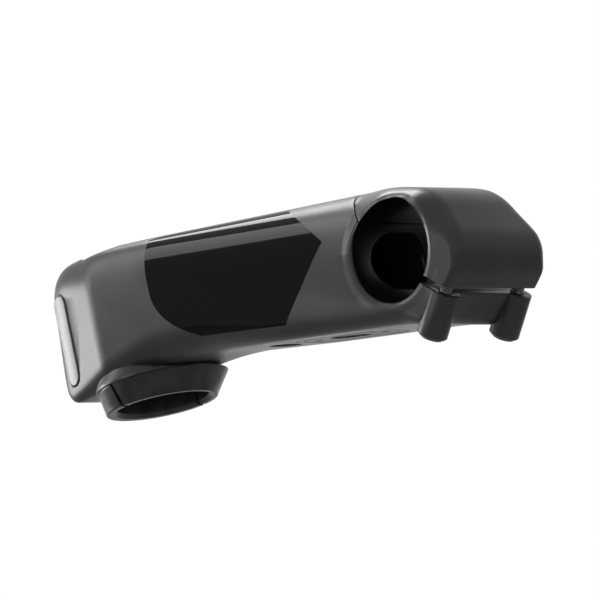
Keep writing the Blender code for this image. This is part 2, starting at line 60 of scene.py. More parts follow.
class Side(Enum):
    """Side of the bike; the value is the sign of Y."""

    LEFT = 1
    RIGHT = -1

    @property
    def word(self) -> str:
        """Name used in the pieces."""
        return self.name.lower()


class Step(Enum):
    """What a Boolean does with its tool; the value is the solver's word."""

    JOIN = "UNION"
    CUT = "DIFFERENCE"
    KEEP = "INTERSECT"


Steps = Iterable[tuple[Step, Mesh]]

# ---- shader nodes -------------------------------------------------------------------
class Field:
    """A number that varies over a surface, held as a node socket."""

    def __init__(self, graph: "Graph", socket: bpy.types.NodeSocket) -> None:
        """Keep the graph that the socket belongs to."""
        self.graph = graph
        self.socket = socket

    def _maths(self, operation: str, *values: object) -> "Field":
        """Add one Math node.

        Args:
            operation: the node's operation.
            values: fields or plain numbers for its sockets.

        Returns:
            The result as a field.
        """
        inputs = dict(enumerate(values))
        return self.graph.add("ShaderNodeMath", {"operation": operation}, inputs)

    def __add__(self, other: object) -> "Field":
        """Sum."""
        return self._maths("ADD", self, other)

    def __radd__(self, other: object) -> "Field":
        """Sum with a number in front."""
        return self._maths("ADD", other, self)

    def __sub__(self, other: object) -> "Field":
        """Difference."""
        return self._maths("SUBTRACT", self, other)

    def __rsub__(self, other: object) -> "Field":
        """Difference with a number in front."""
        return self._maths("SUBTRACT", other, self)

    def __mul__(self, other: object) -> "Field":
        """Product."""
        return self._maths("MULTIPLY", self, other)

    def __rmul__(self, other: object) -> "Field":
        """Product with a number in front."""
        return self._maths("MULTIPLY", other, self)

    def above_zero(self) -> "Field":
        """The value where it is positive, else 0."""
        return self._maths("MAXIMUM", self, 0.0)

    def power(self, exponent: float) -> "Field":
        """Raise to a power."""
        return self._maths("POWER", self, exponent)

    def ramp(self, low: float, high: float) -> "Field":
        """Map low..high smoothly to 0..1, clamped.

        Args:
            low: value that gives 0.
            high: value that gives 1; it may be the lower one.

        Returns:
            The mapped field.
        """
        settings = {"interpolation_type": "SMOOTHSTEP"}
        if low <= high:
            return self.graph.add("ShaderNodeMapRange", settings, {0: self, 1: low, 2: high})
        return 1 - self.graph.add("ShaderNodeMapRange", settings, {0: self, 1: high, 2: low})


class Graph:
    """The node tree of one material."""

    def __init__(self, name: str) -> None:
        """Start an empty material.

        Args:
            name: the material's name.
        """
        self.material = bpy.data.materials.new(name)
        self.material.use_nodes = True
        self.tree = self.material.node_tree
        self.tree.nodes.clear()
        self.output = self.tree.nodes.new("ShaderNodeOutputMaterial")

    def node(self, kind: str, settings: dict | None = None,
             inputs: dict | None = None) -> bpy.types.Node:
        """Add any node.

        Args:
            kind: the node's type.
            settings: attributes set before the sockets.
            inputs: values, fields or sockets by socket name or number.

        Returns:
            The new node.
        """
        made = self.tree.nodes.new(kind)
        for key, value in (settings or {}).items():
            setattr(made, key, value)
        for key, value in (inputs or {}).items():
            if isinstance(value, Field):
                value = value.socket
            if isinstance(value, bpy.types.NodeSocket):
                self.tree.links.new(value, made.inputs[key])
            else:
                made.inputs[key].default_value = value
        return made

    def add(self, kind: str, settings: dict | None = None, inputs: dict | None = None,
            output: int | str = 0) -> Field:
        """Add a node and give one of its outputs as a field."""
        return Field(self, self.node(kind, settings, inputs).outputs[output])

    def place(self, turn: Sequence[float] = (0, 0, 0), at: Sequence[float] = (0, 0, 0)) -> Field:
        """Object coordinates, seen from a place and turned.

        Args:
            turn: Euler angles of the pattern's frame.
            at: the frame's origin, in metres.

        Returns:
            The coordinates in that frame.
        """
        source = self.add("ShaderNodeTexCoord", output="Object")
        return self.add("ShaderNodeMapping", {"vector_type": "TEXTURE"},
                        {"Vector": source, "Rotation": turn, "Location": at})

    def axes(self, place: Field) -> tuple[Field, Field, Field]:
        """Split coordinates into their three numbers."""
        made = self.node("ShaderNodeSeparateXYZ", inputs={0: place})
        return tuple(Field(self, made.outputs[index]) for index in range(3))

    def noise(self, place: Field, size: float, detail: float = 3.0,
              stretch: Sequence[float] = (1, 1, 1)) -> Field:
        """Noise whose features are about size metres across, 0 to 1.

        Args:
            place: coordinates to read.
            size: feature size in metres.
            detail: octaves.
            stretch: scale of each axis, for a pattern that runs one way.

        Returns:
            The noise value.
        """
        scaled = self.add("ShaderNodeVectorMath", {"operation": "MULTIPLY"},
                          {0: place, 1: tuple(stretch)})
        return self.add("ShaderNodeTexNoise", inputs={"Vector": scaled, "Scale": 1 / size,
                                                      "Detail": detail, "Roughness": 0.55})

    def blend(self, share: Field, low: Triple | Field, high: Triple | Field) -> Field:
        """Mix two colours by a field."""
        made = self.node("ShaderNodeMix", {"data_type": "RGBA"}, {"Factor": share})
        for key, value in ((6, low), (7, high)):
            if isinstance(value, Field):
                self.tree.links.new(value.socket, made.inputs[key])
            else:
                made.inputs[key].default_value = (*value, 1.0)
        return Field(self, made.outputs[2])

    def bump(self, height: Field, depth: float, strength: float = 1.0) -> Field:
        """Normal from a height field; depth is the height of 1 in metres."""
        return self.add("ShaderNodeBump", inputs={"Height": height, "Distance": depth,
                                                  "Strength": strength})

    def finish(self, inputs: dict) -> Material:
        """Close the material with a Principled shader.

        Args:
            inputs: values and fields by socket name.

        Returns:
            The material.
        """
        shader = self.node("ShaderNodeBsdfPrincipled", inputs=inputs)
        self.tree.links.new(shader.outputs[0], self.output.inputs[0])
        return self.material

    def wear(self) -> Field:
        """Edge mask painted on the mesh, 1 on bevelled edges."""
        return self.add("ShaderNodeAttribute", {"attribute_name": "edge"}, output="Fac")


# ---- finishes -----------------------------------------------------------------------
@dataclass(frozen=True)
class SatinPaint:
    """Matte black paint over blasted alloy, with an optional gloss panel and optional painted shade in
    the bar bore.
    """

    name: str
    colour: Triple = (0.033, 0.0334, 0.0345)
    bare: Triple = (0.22, 0.22, 0.225)
    gloss_black: Triple = (0.0015, 0.0015, 0.0018)
    # painted shade: near black put on the bar bore's wall to stand for the shade inside it
    bore_painted_shade: Triple = (0.006, 0.006, 0.0062)
    roughness: float = 0.33
    metallic: float = 0.60
    reflectance: float = 0.06
    grain_size: float = 0.00022
    peel_size: float = 0.0016
    cloud_size: float = 0.018
    scuff_size: float = 0.0030
    rub_size: float = 0.0035
    smear_size: float = 0.012
    relief: float = 0.00004
    ridge_height: float = 9.0
    panel: Callable[[Graph], Field] | None = None
    # the bar bore's bump ridge and the painted shade on its wall
    bore: "BoreMouth | None" = None

    def material(self) -> Material:
        """Build the paint.

        Returns:
            The material.
        """
        graph = Graph(self.name)
        place = graph.place()
        grain = graph.noise(place, self.grain_size, 2.0)
        peel = graph.noise(place, self.peel_size, 2.0)
        cloud = graph.noise(place, self.cloud_size, 4.0)
        scuffs = graph.noise(place, self.scuff_size, 5.0, (0.12, 1.0, 1.4)).ramp(0.66, 0.74)
        rub = (graph.wear() * graph.noise(place, self.rub_size, 5.0)).ramp(0.42, 0.72)
        faded = tuple(part * 1.16 for part in self.colour)
        tint = graph.blend(cloud.ramp(0.3, 0.7), self.colour, faded)
        tint = graph.blend(rub * 0.50, tint, self.bare)
        rough = self.roughness + (cloud - 0.5) * 0.10 + (grain - 0.5) * 0.06 + scuffs * 0.05
        rough = rough - rub * 0.08
        height = grain * 0.30 + peel * 0.55
        if self.bore is not None:
            height = height + self.bore.ridge(graph) * self.ridge_height
            # painted shade: the bar bore's wall is blended towards near black, for the shade inside
            # the hole
            tint = graph.blend(self.bore.inside(graph), tint, self.bore_painted_shade)
        inputs = {"Base Color": tint, "Metallic": self.metallic, "Roughness": rough,
                  "Specular IOR Level": self.reflectance,
                  "Normal": graph.bump(height, self.relief, 0.7)}
        if self.panel is not None:
            gloss = self.panel(graph)
            inputs["Base Color"] = graph.blend(gloss, tint, self.gloss_black)
            smear = graph.noise(place, self.smear_size, 4.0, (0.4, 1, 1))
            shine = 0.035 + smear.ramp(0.45, 0.8) * 0.03 + scuffs * 0.02
            inputs["Roughness"] = rough * (1 - gloss) + shine * gloss
            inputs["Metallic"] = self.metallic * (1 - gloss)
            lip = gloss * 0.6 + height * (1 - gloss * 0.93)
            inputs["Normal"] = graph.bump(lip, self.relief, 0.7)
        return graph.finish(inputs)


@dataclass(frozen=True)
class BlackSteel:
    """Black oxide steel with turning marks round an axis and rubbed edges."""

    name: str
    turn: Triple
    at: Triple
    colour: Triple = (0.060, 0.060, 0.063)
    worn: Triple = (0.42, 0.42, 0.43)
    rings_per_metre: float = 9000.0
    patch_size: float = 0.0022
    relief: float = 0.00002

    def material(self) -> Material:
        """Build the steel.

        Returns:
            The material.
        """
        graph = Graph(self.name)
        place = graph.place(self.turn, self.at)
        across, along, up = graph.axes(place)
        radius = (across * across + along * along).power(0.5)
        rings = graph.add("ShaderNodeTexNoise", inputs={
            "Vector": graph.add("ShaderNodeCombineXYZ", inputs={0: radius, 1: up * 0.2}),
            "Scale": self.rings_per_metre, "Detail": 2.0})
        patch = graph.noise(place, self.patch_size, 4.0)
        rub = (graph.wear() * patch).ramp(0.34, 0.62)
        pale = tuple(part * 1.5 for part in self.colour)
        tint = graph.blend(patch.ramp(0.35, 0.75), self.colour, pale)
        tint = graph.blend(rub * 0.8, tint, self.worn)
        rough = 0.30 + patch * 0.16 + (rings - 0.5) * 0.12 - rub * 0.08
        return graph.finish({"Base Color": tint, "Metallic": 0.92, "Roughness": rough,
                             "Normal": graph.bump(rings + patch * 0.5, self.relief, 0.6)})


@dataclass(frozen=True)
class SoftBlack:
    """Black rubber or moulded plastic: grain, bloom and rubbed edges."""

    name: str
    colour: Triple = (0.016, 0.016, 0.017)
    bloom: Triple = (0.045, 0.045, 0.047)
    roughness: float = 0.55
    grain: float = 0.00030
    depth: float = 0.00003
    specular: float = 0.30
    flow_size: float = 0.006
    rub_size: float = 0.0018

    def material(self) -> Material:
        """Build the material.

        Returns:
            The material.
        """
        graph = Graph(self.name)
        place = graph.place()
        grain = graph.add("ShaderNodeTexVoronoi", {"feature": "F1"},
                          {"Vector": place, "Scale": 1 / self.grain}, "Distance")
        flow = graph.noise(place, self.flow_size, 4.0, (1, 1, 0.4))
        rub = (graph.wear() * graph.noise(place, self.rub_size, 4.0)).ramp(0.36, 0.70)
        tint = graph.blend(flow.ramp(0.4, 0.8) * 0.5 + rub * 0.5, self.colour, self.bloom)
        rough = self.roughness + (flow - 0.5) * 0.14 - rub * 0.10
        height = grain + flow * 0.6
        return graph.finish({"Base Color": tint, "Roughness": rough,
                             "Specular IOR Level": self.specular,
                             "Normal": graph.bump(height, self.depth, 0.6)})


# ---- mesh tools ---------------------------------------------------------------------
class Bench:
    """Helpers that every piece is made with."""

    SHARP = math.radians(32)
    SAME = 1e-7

    @staticmethod
    def raise_by(bm: Mesh, rise: Triple) -> None:
        """Extrude a flat mesh into a solid."""
        raised = bmesh.ops.extrude_face_region(bm, geom=bm.faces[:])["geom"]
        lifted = [item for item in raised if isinstance(item, bmesh.types.BMVert)]
        bmesh.ops.translate(bm, vec=rise, verts=lifted)
        bmesh.ops.recalc_face_normals(bm, faces=bm.faces[:])

    @staticmethod
    def thing(name: str, bm: Mesh) -> Thing:
        """Turn a bmesh into a linked object.

        Args:
            name: the object's name.
            bm: the mesh; it is freed.

        Returns:
            The object, at the origin.
        """
        mesh = bpy.data.meshes.new(name)
        bm.to_mesh(mesh)
        bm.free()
        made = bpy.data.objects.new(name, mesh)
        bpy.context.scene.collection.objects.link(made)
        return made

    @staticmethod
    def frame_on(origin: Vector, axis: Vector) -> Matrix:
        """Matrix at origin whose Z runs along axis."""
        turn = Vector(axis).normalized().to_track_quat("Z", "Y").to_matrix().to_4x4()
        turn.translation = origin
        return turn

    @staticmethod
    def turned(outline: Sequence[Pair], segments: int, place: Matrix) -> Mesh:
        """Spin (radius, height) points about Z.

        Args:
            outline: the half profile, with closed ends on the axis or a closed loop.
            segments: facets round the turn.
            place: where the axis goes.

        Returns:
            The closed mesh.
        """
        bm = bmesh.new()
        points = [bm.verts.new((radius, 0, height)) for radius, height in outline]
        pairs = list(zip(points, points[1:]))
        if outline[0][0] > 0 and outline[-1][0] > 0:
            pairs.append((points[-1], points[0]))
        edges = [bm.edges.new(pair) for pair in pairs]
        bmesh.ops.spin(bm, geom=points + edges, cent=(0, 0, 0), axis=(0, 0, 1), dvec=(0, 0, 0),
                       angle=math.tau, steps=segments, use_merge=True)
        bmesh.ops.remove_doubles(bm, verts=bm.verts[:], dist=Bench.SAME)
        bmesh.ops.recalc_face_normals(bm, faces=bm.faces[:])
        bmesh.ops.transform(bm, matrix=place, verts=bm.verts[:])
        return bm

    @staticmethod
    def plate(length: float, width: float, height: float, place: Matrix,
              steps: int = 20) -> Mesh:
        """Round-ended plate: length on X, width on Y, height up Z."""
        bm = bmesh.new()
        radius = width / 2
        bmesh.ops.create_circle(bm, cap_ends=True, radius=radius, segments=steps * 2)
        half = length / 2 - radius
        for vert in bm.verts:
            vert.co.x += math.copysign(half, vert.co.x)
        Bench.raise_by(bm, (0, 0, height))
        bmesh.ops.transform(bm, matrix=place, verts=bm.verts[:])
        return bm

    @staticmethod
    def slab(corners: Sequence[Vector], half_width: float) -> Mesh:
        """Extrude an outline in the XZ plane to both sides."""
        bm = bmesh.new()
        bm.faces.new([bm.verts.new((corner[0], -half_width, corner[2])) for corner in corners])
        Bench.raise_by(bm, (0, 2 * half_width, 0))
        return bm

    @staticmethod
    def box(size: Sequence[float], centre: Vector) -> Mesh:
        """Plain box."""
        bm = bmesh.new()
        bmesh.ops.create_cube(bm, size=1.0)
        bmesh.ops.scale(bm, vec=size, verts=bm.verts[:])
        bmesh.ops.translate(bm, vec=centre, verts=bm.verts[:])
        return bm

    @classmethod
    def carve(cls, target: Thing, steps: Steps) -> None:
        """Run exact Booleans on an object and keep their result.

        Args:
            target: the object to change.
            steps: pairs of what to do and the tool's mesh.
        """
        tools = []
        for operation, bm in steps:
            tool = cls.thing("tool", bm)
            step = target.modifiers.new("cut", "BOOLEAN")
            step.object = tool
            step.operation = operation.value
            step.solver = "EXACT"
            tools.append(tool)
        graph = bpy.context.evaluated_depsgraph_get()
        graph.update()
        mesh = bpy.data.meshes.new_from_object(target.evaluated_get(graph))
        target.modifiers.clear()
        target.data = mesh
        for tool in tools:
            bpy.data.objects.remove(tool, do_unlink=True)

    @classmethod
    def soften(cls, target: Thing, size: float, segments: int = 2,
               merge: float = 2e-5) -> None:
        """Bevel every sharp edge and mark the bevels for wear.

        Args:
            target: the object to change.
            size: width of the bevel in metres.
            segments: facets across it.
            merge: points nearer than this become one first.
        """
        bm = bmesh.new()
        bm.from_mesh(target.data)
        bmesh.ops.remove_doubles(bm, verts=bm.verts[:], dist=merge)
        bmesh.ops.dissolve_degenerate(bm, dist=merge / 2, edges=bm.edges[:])
        sharp = [edge for edge in bm.edges
                 if len(edge.link_faces) == 2 and edge.calc_face_angle(0) > cls.SHARP]
        mark = bm.faces.layers.float.new("edge")
        made = bmesh.ops.bevel(bm, geom=sharp, offset=size, offset_type="OFFSET",
                               segments=segments, profile=0.5, affect="EDGES", material=-1,
                               clamp_overlap=True)
        for face in made["faces"]:
            face[mark] = 1.0
        bm.to_mesh(target.data)
        bm.free()

    @classmethod
    def dress(cls, piece: Thing, material: Material, body: str,
              slot: str, nodes: Sequence[str]) -> Thing:
        """Shade a finished piece, give it its finish and tie it to the frame."""
        piece.data.materials.clear()
        piece.data.materials.append(material)
        piece.data.shade_smooth()
        piece.data.set_sharp_from_angle(angle=cls.SHARP)
        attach(piece, body)
        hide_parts(*nodes)
        LOG.info("%s: %d faces on %s", piece.name, len(piece.data.polygons), body)
        return piece


# ---- the shell that body and cap are cut from ---------------------------------------
@dataclass(frozen=True)
class Layout:
    """Sizes of the stem, in metres, and the places that follow from them."""

    bar_radius: float = 0.0159
    bore_radius: float = 0.0144
    stem_length: float = 0.130
    stem_angle: float = math.radians(-7.5)
    gap: float = 0.0003
    half_width: float = 0.020
    collar_height: float = 0.0070
    neck_height: float = 0.0007
    neck_radius: float = 0.0203
    body_height: float = 0.0438
    clamp_rise: float = 0.0206
    pinch_rise: float = 0.0200
    bolt_tilt: float = math.radians(40)
    bolt_reach: float = 0.0229
    bolt_spacing: float = 0.0310
    boss_radius: float = 0.0047
    boss_length: float = 0.0144
    split_level: float = -0.0012
    split_gap: float = 0.0028
    rear_depth: float = 0.0169
    front_depth: float = 0.0225
    tail_length: float = 0.0304
    tail_half_width: float = 0.0125
    tail_start: float = -0.0030
    pinch_rear: float = 0.0223
    waist: float = 0.3              # share of the length where the underside starts to deepen
    washer: float = 0.0007
    head_height: float = 0.0040
    head_proud: float = 0.0006

    @property
    def neck_base(self) -> float:
        """Height of the neck's foot."""
        return self.collar_height + self.gap

    @property
    def base(self) -> float:
        """Height of the body's foot."""
        return self.neck_base + self.neck_height

    @property
    def crown(self) -> float:
        """Height of the crown over the steerer."""
        return self.base + self.body_height

    @property
    def along(self) -> Vector:
        """Direction of the extension."""
        return Vector((math.cos(self.stem_angle), 0, math.sin(self.stem_angle)))

    @property
    def up(self) -> Vector:
        """Direction square to the extension, upward."""
        return Vector((-math.sin(self.stem_angle), 0, math.cos(self.stem_angle)))

    @property
    def bolt_axis(self) -> Vector:
        """Direction of the cap bolts, upward."""
        return Vector((math.sin(self.bolt_tilt), 0, math.cos(self.bolt_tilt)))

    @property
    def bar(self) -> Vector:
        """Centre of the handlebar."""
        return self.stem_point(self.stem_length, 0)

    @property
    def jaw_top(self) -> float:
        """Height of the lower jaw along the bolts."""
        return self.split_level - self.split_gap

    @property
    def boss_foot(self) -> float:
        """Height of the boss feet along the bolts."""
        return self.jaw_top - self.boss_length

    @property
    def head_seat(self) -> float:
        """Height of the underside of the cap bolts' heads."""
        return self.boss_foot - self.head_proud + self.head_height

    @property
    def pinch_mid(self) -> float:
        """Height of the middle of the pinch bolts."""
        return self.base + self.pinch_rise

    @property
    def taper(self) -> float:
        """Slope of the tail's flanks."""
        return (self.half_width - self.tail_half_width) / (self.tail_length + self.tail_start)

    def stem_point(self, distance: float, height: float, side: float = 0.0) -> Vector:
        """Point measured along the extension and up from it."""
        start = Vector((0, side, self.base + self.clamp_rise))
        return start + self.along * distance + self.up * height

    def jaw_point(self, reach: float, rise: float, side: float = 0.0) -> Vector:
        """Point measured from the bar centre: along the split, up the bolts, across."""
        ahead = Vector((math.cos(self.bolt_tilt), 0, -math.sin(self.bolt_tilt)))
        return self.bar + ahead * reach + self.bolt_axis * rise + Vector((0, side, 0))

    def bolt_frame(self, side: Side, rise: float = 0.0) -> Matrix:
        """Frame on a cap bolt's axis, Z up the bolt."""
        across = side.value * self.bolt_spacing / 2
        return Bench.frame_on(self.jaw_point(self.bolt_reach, rise, across), self.bolt_axis)

    def depth(self, distance: float) -> float:
        """Depth of the underside below the extension's axis."""
        share = max(0.0, distance / self.stem_length - self.waist) / (1 - self.waist)
        return self.rear_depth + (self.front_depth - self.rear_depth) * share

    def flank(self, side: Side, height: float = 0.0) -> Matrix:
        """Frame on a tail facet at the pinch bolts: X up, Z out of the facet."""
        angle = math.atan(self.taper)
        out = Vector((-math.sin(angle), side.value * math.cos(angle), 0))
        width = self.half_width - (self.pinch_rear + self.tail_start) * self.taper
        centre = Vector((-self.pinch_rear, side.value * width, self.pinch_mid)) + out * height
        across = out.cross(Vector((0, 0, 1)))
        matrix = Matrix((Vector((0, 0, 1)), across, out)).transposed().to_4x4()
        matrix.translation = centre
        return matrix


@dataclass(frozen=True)
class Corner:
    """Corner of the side outline: its fillet and the rounding of its edge.

    The rounding takes edge off the width and drop off the height.
    """

    at: Vector
    fillet: float
    edge: float
    drop: float


@dataclass(frozen=True)
class Shell:
    """Outer form of body and cap, before anything is cut from it."""

    layout: Layout
    cap_wall: float = 0.0043
    cap_reach: float = 0.0262
    top_fall: float = math.radians(-8.5)
    chord: float = 0.0011
    edge_steps: int = 8
    soft_corner: float = 0.0070
    smear: float = 0.0050

    def corners(self) -> list[Corner]:
        """Side outline, clockwise: tail, crown, cap, jaw, underside and heel.

        Returns:
            Corners with their fillet, edge and drop.
        """
        lay = self.layout
        slope = math.tan(self.top_fall)
        knee = 0.016
        belly = lay.stem_length * 0.62
        crown_end = lay.bar.x - lay.bar_radius
        cap_top = lay.bar.z + lay.bar_radius + self.cap_wall
        reach = self.cap_reach
        return [
            Corner(Vector((-lay.tail_length, 0, lay.base)), 0.0075, 0.0030, 0.0040),
            Corner(Vector((-lay.tail_length, 0, lay.crown)), 0.0220, 0.0064, 0.0095),
            Corner(Vector((0, 0, lay.crown)), 0.0, 0.0080, 0.0135),
            Corner(Vector((knee, 0, lay.crown + slope * knee)), 0.0, 0.0080, 0.0135),
            Corner(Vector((crown_end, 0, lay.crown + slope * crown_end)), 0.0, 0.0150, 0.0190),
            Corner(Vector((lay.bar.x, 0, cap_top)), 0.0300, 0.0105, 0.0120),
            Corner(lay.jaw_point(reach * 0.18, 0.0222), 0.0200, 0.0080, 0.0090),
            Corner(lay.jaw_point(reach - 0.0011, 0.0144), 0.0140, 0.0050, 0.0050),
            Corner(lay.jaw_point(reach + 0.0018, 0.0054), 0.0060, 0.0022, 0.0022),
            Corner(lay.jaw_point(reach + 0.0004, lay.split_level), 0.0, 0.0022, 0.0022),
            Corner(lay.jaw_point(lay.bolt_reach + 0.0012, lay.jaw_top), 0.0, 0.0022, 0.0022),
            Corner(lay.jaw_point(lay.bolt_reach - 0.0008, lay.jaw_top - 0.0111),
                   0.0042, 0.0022, 0.0022),
            Corner(lay.stem_point(lay.stem_length * 0.99, -lay.front_depth), 0.0100, 0.0055, 0.0055),
            Corner(lay.stem_point(belly, -lay.depth(belly)), 0.0500, 0.0055, 0.0075),
            Corner(lay.stem_point(lay.stem_length * 0.30, -lay.rear_depth), 0.0300, 0.0110, 0.0110),
            Corner(Vector((0.0228, 0, lay.base)), 0.0040, 0.0110, 0.0110),
        ]

    def _rounded(self) -> list[tuple[Vector, Vector]]:
        """Fillet the corners; gives points with their edge and drop as X and Y."""
        corners = self.corners()
        points: list[tuple[Vector, Vector]] = []
        for index, corner in enumerate(corners):
            before = corners[index - 1].at - corner.at
            after = corners[(index + 1) % len(corners)].at - corner.at
            half = before.angle(after) / 2
            mild = math.pi - 2 * half < math.radians(12)
            reach = self.soft_corner if mild else corner.fillet / math.tan(half)
            reach = min(reach, before.length * 0.48, after.length * 0.48)
            first = corner.at + before.normalized() * reach
            last = corner.at + after.normalized() * reach
            steps = max(2, round(2 * reach / self.chord))
            for step in range(steps + 1):
                share = step / steps
                point = (first * (1 - share) ** 2 + corner.at * 2 * share * (1 - share)
                         + last * share ** 2)
                points.append((point, Vector((corner.edge, corner.drop))))
        return points

    def outline(self) -> list[tuple[Vector, Vector]]:
        """Evenly spaced points of the outline with smoothly varying edge rounding.

        Returns:
            Pairs of a point and its (edge, drop).
        """
        points = self._rounded()
        dense: list[tuple[Vector, Vector]] = []
        for (here, rounding), (there, following) in zip(points, points[1:] + points[:1]):
            gap = (there - here).length
            if gap < self.chord * 0.2:
                continue
            steps = max(1, round(gap / self.chord))
            for step in range(steps):
                share = step / steps
                dense.append((here.lerp(there, share), rounding.lerp(following, share)))
        window = max(1, round(self.smear / self.chord))
        count = len(dense)
        smooth = []
        for index, (point, _) in enumerate(dense):
            near = [dense[(index + shift) % count][1] for shift in range(-window, window + 1)]
            smooth.append((point, sum(near, Vector((0, 0))) / len(near)))
        return smooth

    def mesh(self) -> Mesh:
        """Loft rings of the outline, inset along a quarter round towards each side.

        Returns:
            The closed shell.
        """
        outline = self.outline()
        count = len(outline)
        lay = self.layout
        inward = []
        for index in range(count):
            run = (outline[(index + 1) % count][0] - outline[index - 1][0]).normalized()
            inward.append(Vector((run.z, 0, -run.x)))
        bm = bmesh.new()
        rings = []
        turns = [math.pi / 2 * step / self.edge_steps for step in range(self.edge_steps + 1)]
        order = [(-1, turn) for turn in reversed(turns)] + [(1, turn) for turn in turns]
        for side, turn in order:
            ring = []
            for (point, (edge, drop)), into in zip(outline, inward):
                place = point + into * drop * (1 - math.cos(turn))
                place.y = side * (lay.half_width - edge * (1 - math.sin(turn)))
                ring.append(bm.verts.new(place))
            rings.append(ring)
        for low, high in zip(rings, rings[1:]):
            for index in range(count):
                after = (index + 1) % count
                bm.faces.new((low[index], low[after], high[after], high[index]))
        bm.faces.new(rings[0])
        bm.faces.new(rings[-1][::-1])
        self._taper(bm)
        bmesh.ops.recalc_face_normals(bm, faces=bm.faces[:])
        return bm

    def _taper(self, bm: Mesh) -> None:
        """Draw the tail's flanks in, with a softened crease where the taper starts."""
        lay = self.layout
        blend = 0.0022
        for step in range(-2, 3):
            bmesh.ops.bisect_plane(bm, geom=bm.verts[:] + bm.edges[:] + bm.faces[:], dist=1e-6,
                                   plane_co=(lay.tail_start + blend * step / 2, 0, 0),
                                   plane_no=(1, 0, 0))
        for vert in bm.verts:
            behind = lay.tail_start - vert.co.x
            if behind <= -blend:
                continue
            drawn = (behind + blend) ** 2 / (4 * blend) if behind < blend else behind
            vert.co.y *= 1 - drawn * lay.taper / lay.half_width


LAYOUT = Layout()
SHELL = Shell(LAYOUT)
HIGH = 0.060                    # far enough to leave the body on any side
WIDE = 0.010                    # how far a cutter for both sides reaches past the flanks
EDGE = 0.00028                  # bevel on the painted pieces
PAST = 0.002                    # how far a cutter for a hole reaches past the surface


def rod_outline(radius: float, low: float, high: float) -> list[Pair]:
    """Half profile of a plain cylinder."""
    return [(0.0, low), (radius, low), (radius, high), (0.0, high)]


def stepped(*levels: Triple) -> list[Pair]:
    """Half profile of stacked cylinders, each (radius, low, high)."""
    points: list[Pair] = [(0.0, levels[0][1])]
    for radius, low, high in levels:
        points += [(radius, low), (radius, high)]
    return points + [(0.0, levels[-1][2])]


def rounded_foot(radius: float, round_off: float, low: float) -> list[Pair]:
    """Quarter round from a flat foot up to a cylinder."""
    turns = [math.pi / 2 * step / 4 for step in range(5)]
    return [(radius - round_off * (1 - math.sin(turn)), low + round_off * (1 - math.cos(turn)))
            for turn in turns]


def cap_zone(layout: Layout, seam_gap: float, split_gap: float) -> Mesh:
    """Solid that holds the cap's share of the shell.

    Args:
        layout: the stem's sizes.
        seam_gap: how far it is grown at the seam.
        split_gap: how far it is grown at the split.

    Returns:
        The solid.
    """
    low = layout.split_level - split_gap
    seam_start, seam_end = (-layout.bar_radius * 0.5, 0.0002), (-0.0420, 0.0098)
    places = [(HIGH, low), (0.0, low), (seam_start[0], seam_start[1] - seam_gap),
              (seam_end[0], seam_end[1] - seam_gap), (seam_end[0], HIGH), (HIGH, HIGH)]
    return Bench.slab([layout.jaw_point(*place) for place in places], layout.half_width + WIDE)


def bar_cutter(layout: Layout, chamfer: float = 0.0007) -> Mesh:
    """Bar bore with a chamfer at each mouth."""
    wide = layout.bar_radius + chamfer + WIDE
    mouth = layout.half_width - chamfer
    far = layout.half_width + WIDE
    outline = [(0, -far), (wide, -far), (layout.bar_radius, -mouth), (layout.bar_radius, mouth),
               (wide, far), (0, far)]
    return Bench.turned(outline, 128, Bench.frame_on(layout.bar, Vector((0, 1, 0))))


